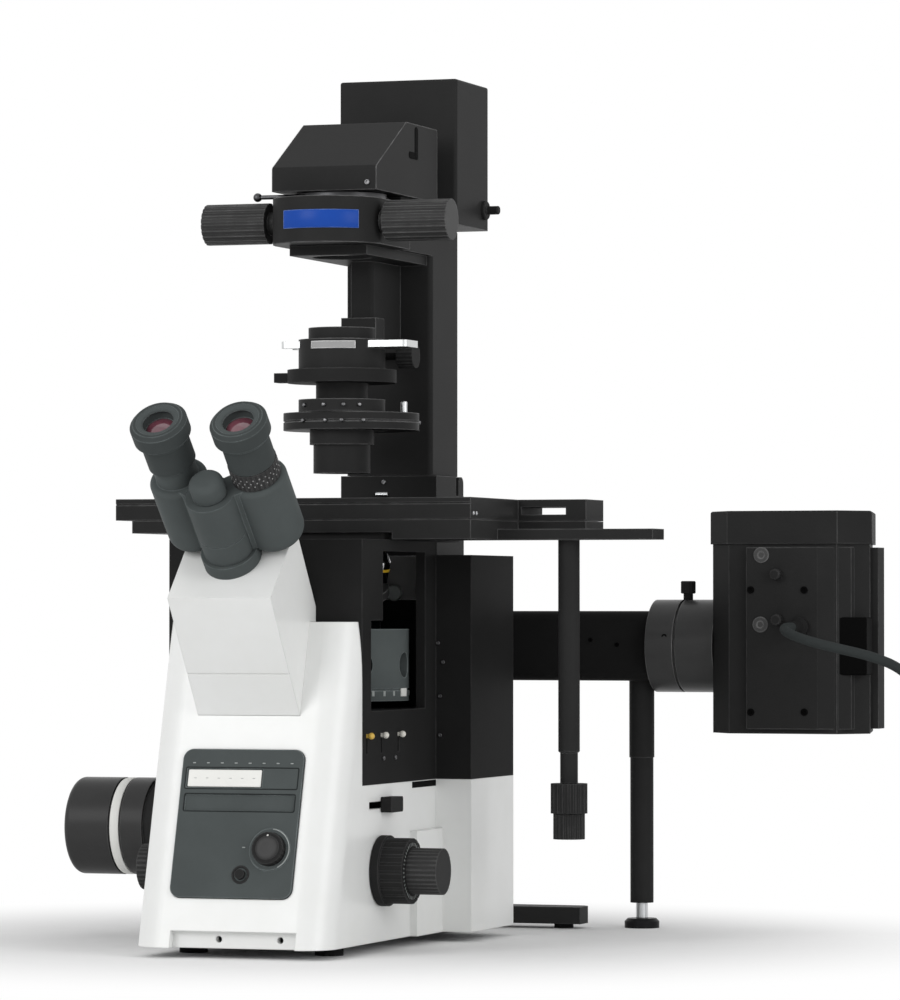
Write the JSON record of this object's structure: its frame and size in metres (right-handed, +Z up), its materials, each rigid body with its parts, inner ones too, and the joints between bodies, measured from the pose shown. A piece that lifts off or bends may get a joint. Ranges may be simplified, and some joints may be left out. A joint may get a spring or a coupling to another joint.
{
  "type": "inverted microscope",
  "caption": "Inverted microscope with a tilting lamp pillar, condenser, sliding specimen stage, objective turret, binocular head, side camera and a separate lamp housing on a rear tube.",
  "frame": {"origin": "where the vertical optical axis through the specimen meets the table", "axes": "+Z up along the optical axis, +X to the user's right, +Y away from the user"},
  "size_m": [0.775, 0.6249, 0.705],
  "materials": {
    "white_paint": "satin",
    "black_paint": "satin anodised",
    "dark_plastic": "matte",
    "black_rubber": "matte",
    "connector_plastic": "matte",
    "bare_steel": "brushed",
    "insert_aluminium": "anodised",
    "objective_chrome": "polished",
    "lever_tips": "matte",
    "mirror_block": "polished",
    "lens_glass": "polished",
    "lamp_glass": "polished"
  },
  "bodies": {
    "stand": {"base_shell": "white_paint", "base_plate": "bare_steel", "rubber_feet": "black_rubber", "rear_outrigger": "black_paint", "main_mirror": "mirror_block", "control_panel": "dark_plastic", "deck_frame": "black_paint", "tube_base_cover": "white_paint", "tube_lens": "lens_glass", "binocular_mount": "black_paint", "side_port": "black_paint", "camera_body": "black_paint", "stage_base": "black_paint", "pillar_base": "black_paint", "illuminator_tube": "black_paint", "lamp_coupling": "black_paint", "arc_lamp_body": "black_paint", "arc_lamp_cap": "black_paint", "arc_bulb": "lamp_glass", "support_leg": "black_paint", "cord_gland": "black_rubber", "lamp_cord": "black_rubber", "cord_coil": "black_rubber", "cord_connector": "connector_plastic"},
    "pillar_arm": {"pillar": "black_paint", "lens_drum": "black_paint", "tilt_grips": "dark_plastic", "head_housing": "black_paint", "lamp_house": "black_paint", "lamp_bulb": "lamp_glass"},
    "condenser": {"condenser_holder": "black_paint", "condenser_optics": "black_paint"},
    "condenser_height_knob": {"condenser_knob": "dark_plastic"},
    "condenser_disc": {"condenser_turret": "black_paint"},
    "aperture": {"aperture_ring": "dark_plastic"},
    "slider": {"polarizer_slider": "bare_steel"},
    "field_stop": {"field_iris": "bare_steel"},
    "focus": {"focus_carriage": "black_paint"},
    "nose": {"nosepiece": "black_paint", "objectives": "objective_chrome"},
    "coarse": {"coarse_focus_knobs": "dark_plastic"},
    "fine": {"fine_focus_knobs": "dark_plastic"},
    "cube_turret": {"mirror_turret": "black_paint"},
    "stage_y": {"stage_y_plate": "black_paint"},
    "stage_x": {"stage_x_plate": "black_paint", "stage_insert": "insert_aluminium"},
    "y_knob": {"stage_y_knob": "dark_plastic"},
    "x_knob": {"stage_x_knob": "dark_plastic"},
    "left_view": {"left_tube": "black_paint", "left_eyepiece": "dark_plastic"},
    "right_view": {"right_tube": "black_paint", "right_eyepiece": "dark_plastic"},
    "diopter": {"diopter_ring": "dark_plastic"},
    "dial": {"brightness_dial": "dark_plastic"},
    "button": {"panel_button": "dark_plastic"},
    "lever_1": {"filter_lever_1": "lever_tips"},
    "lever_2": {"filter_lever_2": "lever_tips"},
    "lever_3": {"filter_lever_3": "lever_tips"},
    "selector": {"port_selector": "dark_plastic"},
    "foot": {"leg_foot": "bare_steel"}
  },
  "joints": [
    {"name": "pillar_tilt", "type": "hinge", "parent": "stand", "child": "pillar_arm", "pos_m": [0, 0.174, 0.3697], "axis": [-1, 0, 0], "range_deg": [0, 30]},
    {"name": "condenser_focus", "type": "slide", "parent": "pillar_arm", "child": "condenser", "axis": [0, 0, 1], "range_m": [-0.015, 0.045]},
    {"name": "condenser_knob_turn", "type": "hinge", "parent": "condenser", "child": "condenser_height_knob", "pos_m": [0.04, 0.035, 0.4706], "axis": [1, 0, 0], "range_deg": [-218, 652]},
    {"name": "condenser_turret_turn", "type": "hinge", "parent": "condenser", "child": "condenser_disc", "pos_m": [0, 0.022, 0.417], "axis": [0, 0, 1], "continuous": true},
    {"name": "aperture_turn", "type": "hinge", "parent": "condenser", "child": "aperture", "pos_m": [0, 0, 0.453], "axis": [0, 0, 1], "range_deg": [-25, 25]},
    {"name": "polarizer_slide", "type": "slide", "parent": "condenser", "child": "slider", "axis": [1, 0, 0], "range_m": [0, 0.04]},
    {"name": "field_iris_turn", "type": "hinge", "parent": "pillar_arm", "child": "field_stop", "pos_m": [0, 0, 0.597], "axis": [0, 0, 1], "range_deg": [-20, 20]},
    {"name": "nosepiece_focus", "type": "slide", "parent": "stand", "child": "focus", "axis": [0, 0, 1], "range_m": [-0.004, 0.006]},
    {"name": "coarse_turn", "type": "hinge", "parent": "stand", "child": "coarse", "pos_m": [0, -0.13, 0.063], "axis": [1, 0, 0], "range_deg": [-300, 445]},
    {"name": "fine_turn", "type": "hinge", "parent": "stand", "child": "fine", "pos_m": [0, -0.13, 0.063], "axis": [1, 0, 0], "continuous": true},
    {"name": "nosepiece_turn", "type": "hinge", "parent": "focus", "child": "nose", "pos_m": [0, 0, 0.147], "axis": [0, -0.2588, 0.9659], "continuous": true},
    {"name": "mirror_turret_turn", "type": "hinge", "parent": "stand", "child": "cube_turret", "pos_m": [0, -0.035, 0.22], "axis": [0, 0, 1], "continuous": true},
    {"name": "stage_y_slide", "type": "slide", "parent": "stand", "child": "stage_y", "axis": [0, 1, 0], "range_m": [-0.0375, 0.0375]},
    {"name": "stage_x_slide", "type": "slide", "parent": "stage_y", "child": "stage_x", "axis": [1, 0, 0], "range_m": [-0.057, 0.057]},
    {"name": "y_knob_turn", "type": "hinge", "parent": "stage_y", "child": "y_knob", "pos_m": [0.2015, -0.03, 0.117], "axis": [0, 0, 1], "range_deg": [-340, 340]},
    {"name": "x_knob_turn", "type": "hinge", "parent": "stage_y", "child": "x_knob", "pos_m": [0.2015, -0.03, 0.095], "axis": [0, 0, 1], "range_deg": [-515, 515]},
    {"name": "left_tube_swing", "type": "hinge", "parent": "stand", "child": "left_view", "pos_m": [0, -0.24, 0.304], "axis": [0, -0.7071, 0.7071], "range_deg": [-14.4, 23.5]},
    {"name": "right_tube_swing", "type": "hinge", "parent": "stand", "child": "right_view", "pos_m": [0, -0.24, 0.304], "axis": [0, -0.7071, 0.7071], "range_deg": [-23.6, 14.5]},
    {"name": "diopter_turn", "type": "hinge", "parent": "right_view", "child": "diopter", "pos_m": [0.03225, -0.27889, 0.37259], "axis": [0, -0.7071, 0.7071], "range_deg": [-120, 120]},
    {"name": "dial_turn", "type": "hinge", "parent": "stand", "child": "dial", "pos_m": [0.029, -0.23497, 0.0825], "axis": [0, -0.9624, 0.2716], "range_deg": [-150, 150]},
    {"name": "button_press", "type": "slide", "parent": "stand", "child": "button", "axis": [0, 0.9624, -0.2716], "range_m": [0, 0.0015], "stiffness_N_per_m": 300, "springref_m": -0.0005},
    {"name": "filter_lever_1_slide", "type": "slide", "parent": "stand", "child": "lever_1", "axis": [0, 0, -1], "range_m": [0, 0.012]},
    {"name": "filter_lever_2_slide", "type": "slide", "parent": "stand", "child": "lever_2", "axis": [0, 0, -1], "range_m": [0, 0.012]},
    {"name": "filter_lever_3_slide", "type": "slide", "parent": "stand", "child": "lever_3", "axis": [0, 0, -1], "range_m": [0, 0.012]},
    {"name": "port_select", "type": "slide", "parent": "stand", "child": "selector", "axis": [0, -1, 0], "range_m": [0, 0.036]},
    {"name": "leg_foot_slide", "type": "slide", "parent": "stand", "child": "foot", "axis": [0, 0, 1], "range_m": [0, 0.012]}
  ],
  "couplings": [
    {"joint": "condenser_knob_turn", "follows": "condenser_focus", "rad_per_m": 251.33},
    {"joint": "coarse_turn", "follows": "nosepiece_focus", "rad_per_m": 1282.3},
    {"joint": "y_knob_turn", "follows": "stage_y_slide", "rad_per_m": 157.08},
    {"joint": "x_knob_turn", "follows": "stage_x_slide", "rad_per_m": 157.08},
    {"joint": "right_tube_swing", "follows": "left_tube_swing", "ratio": -1}
  ]
}
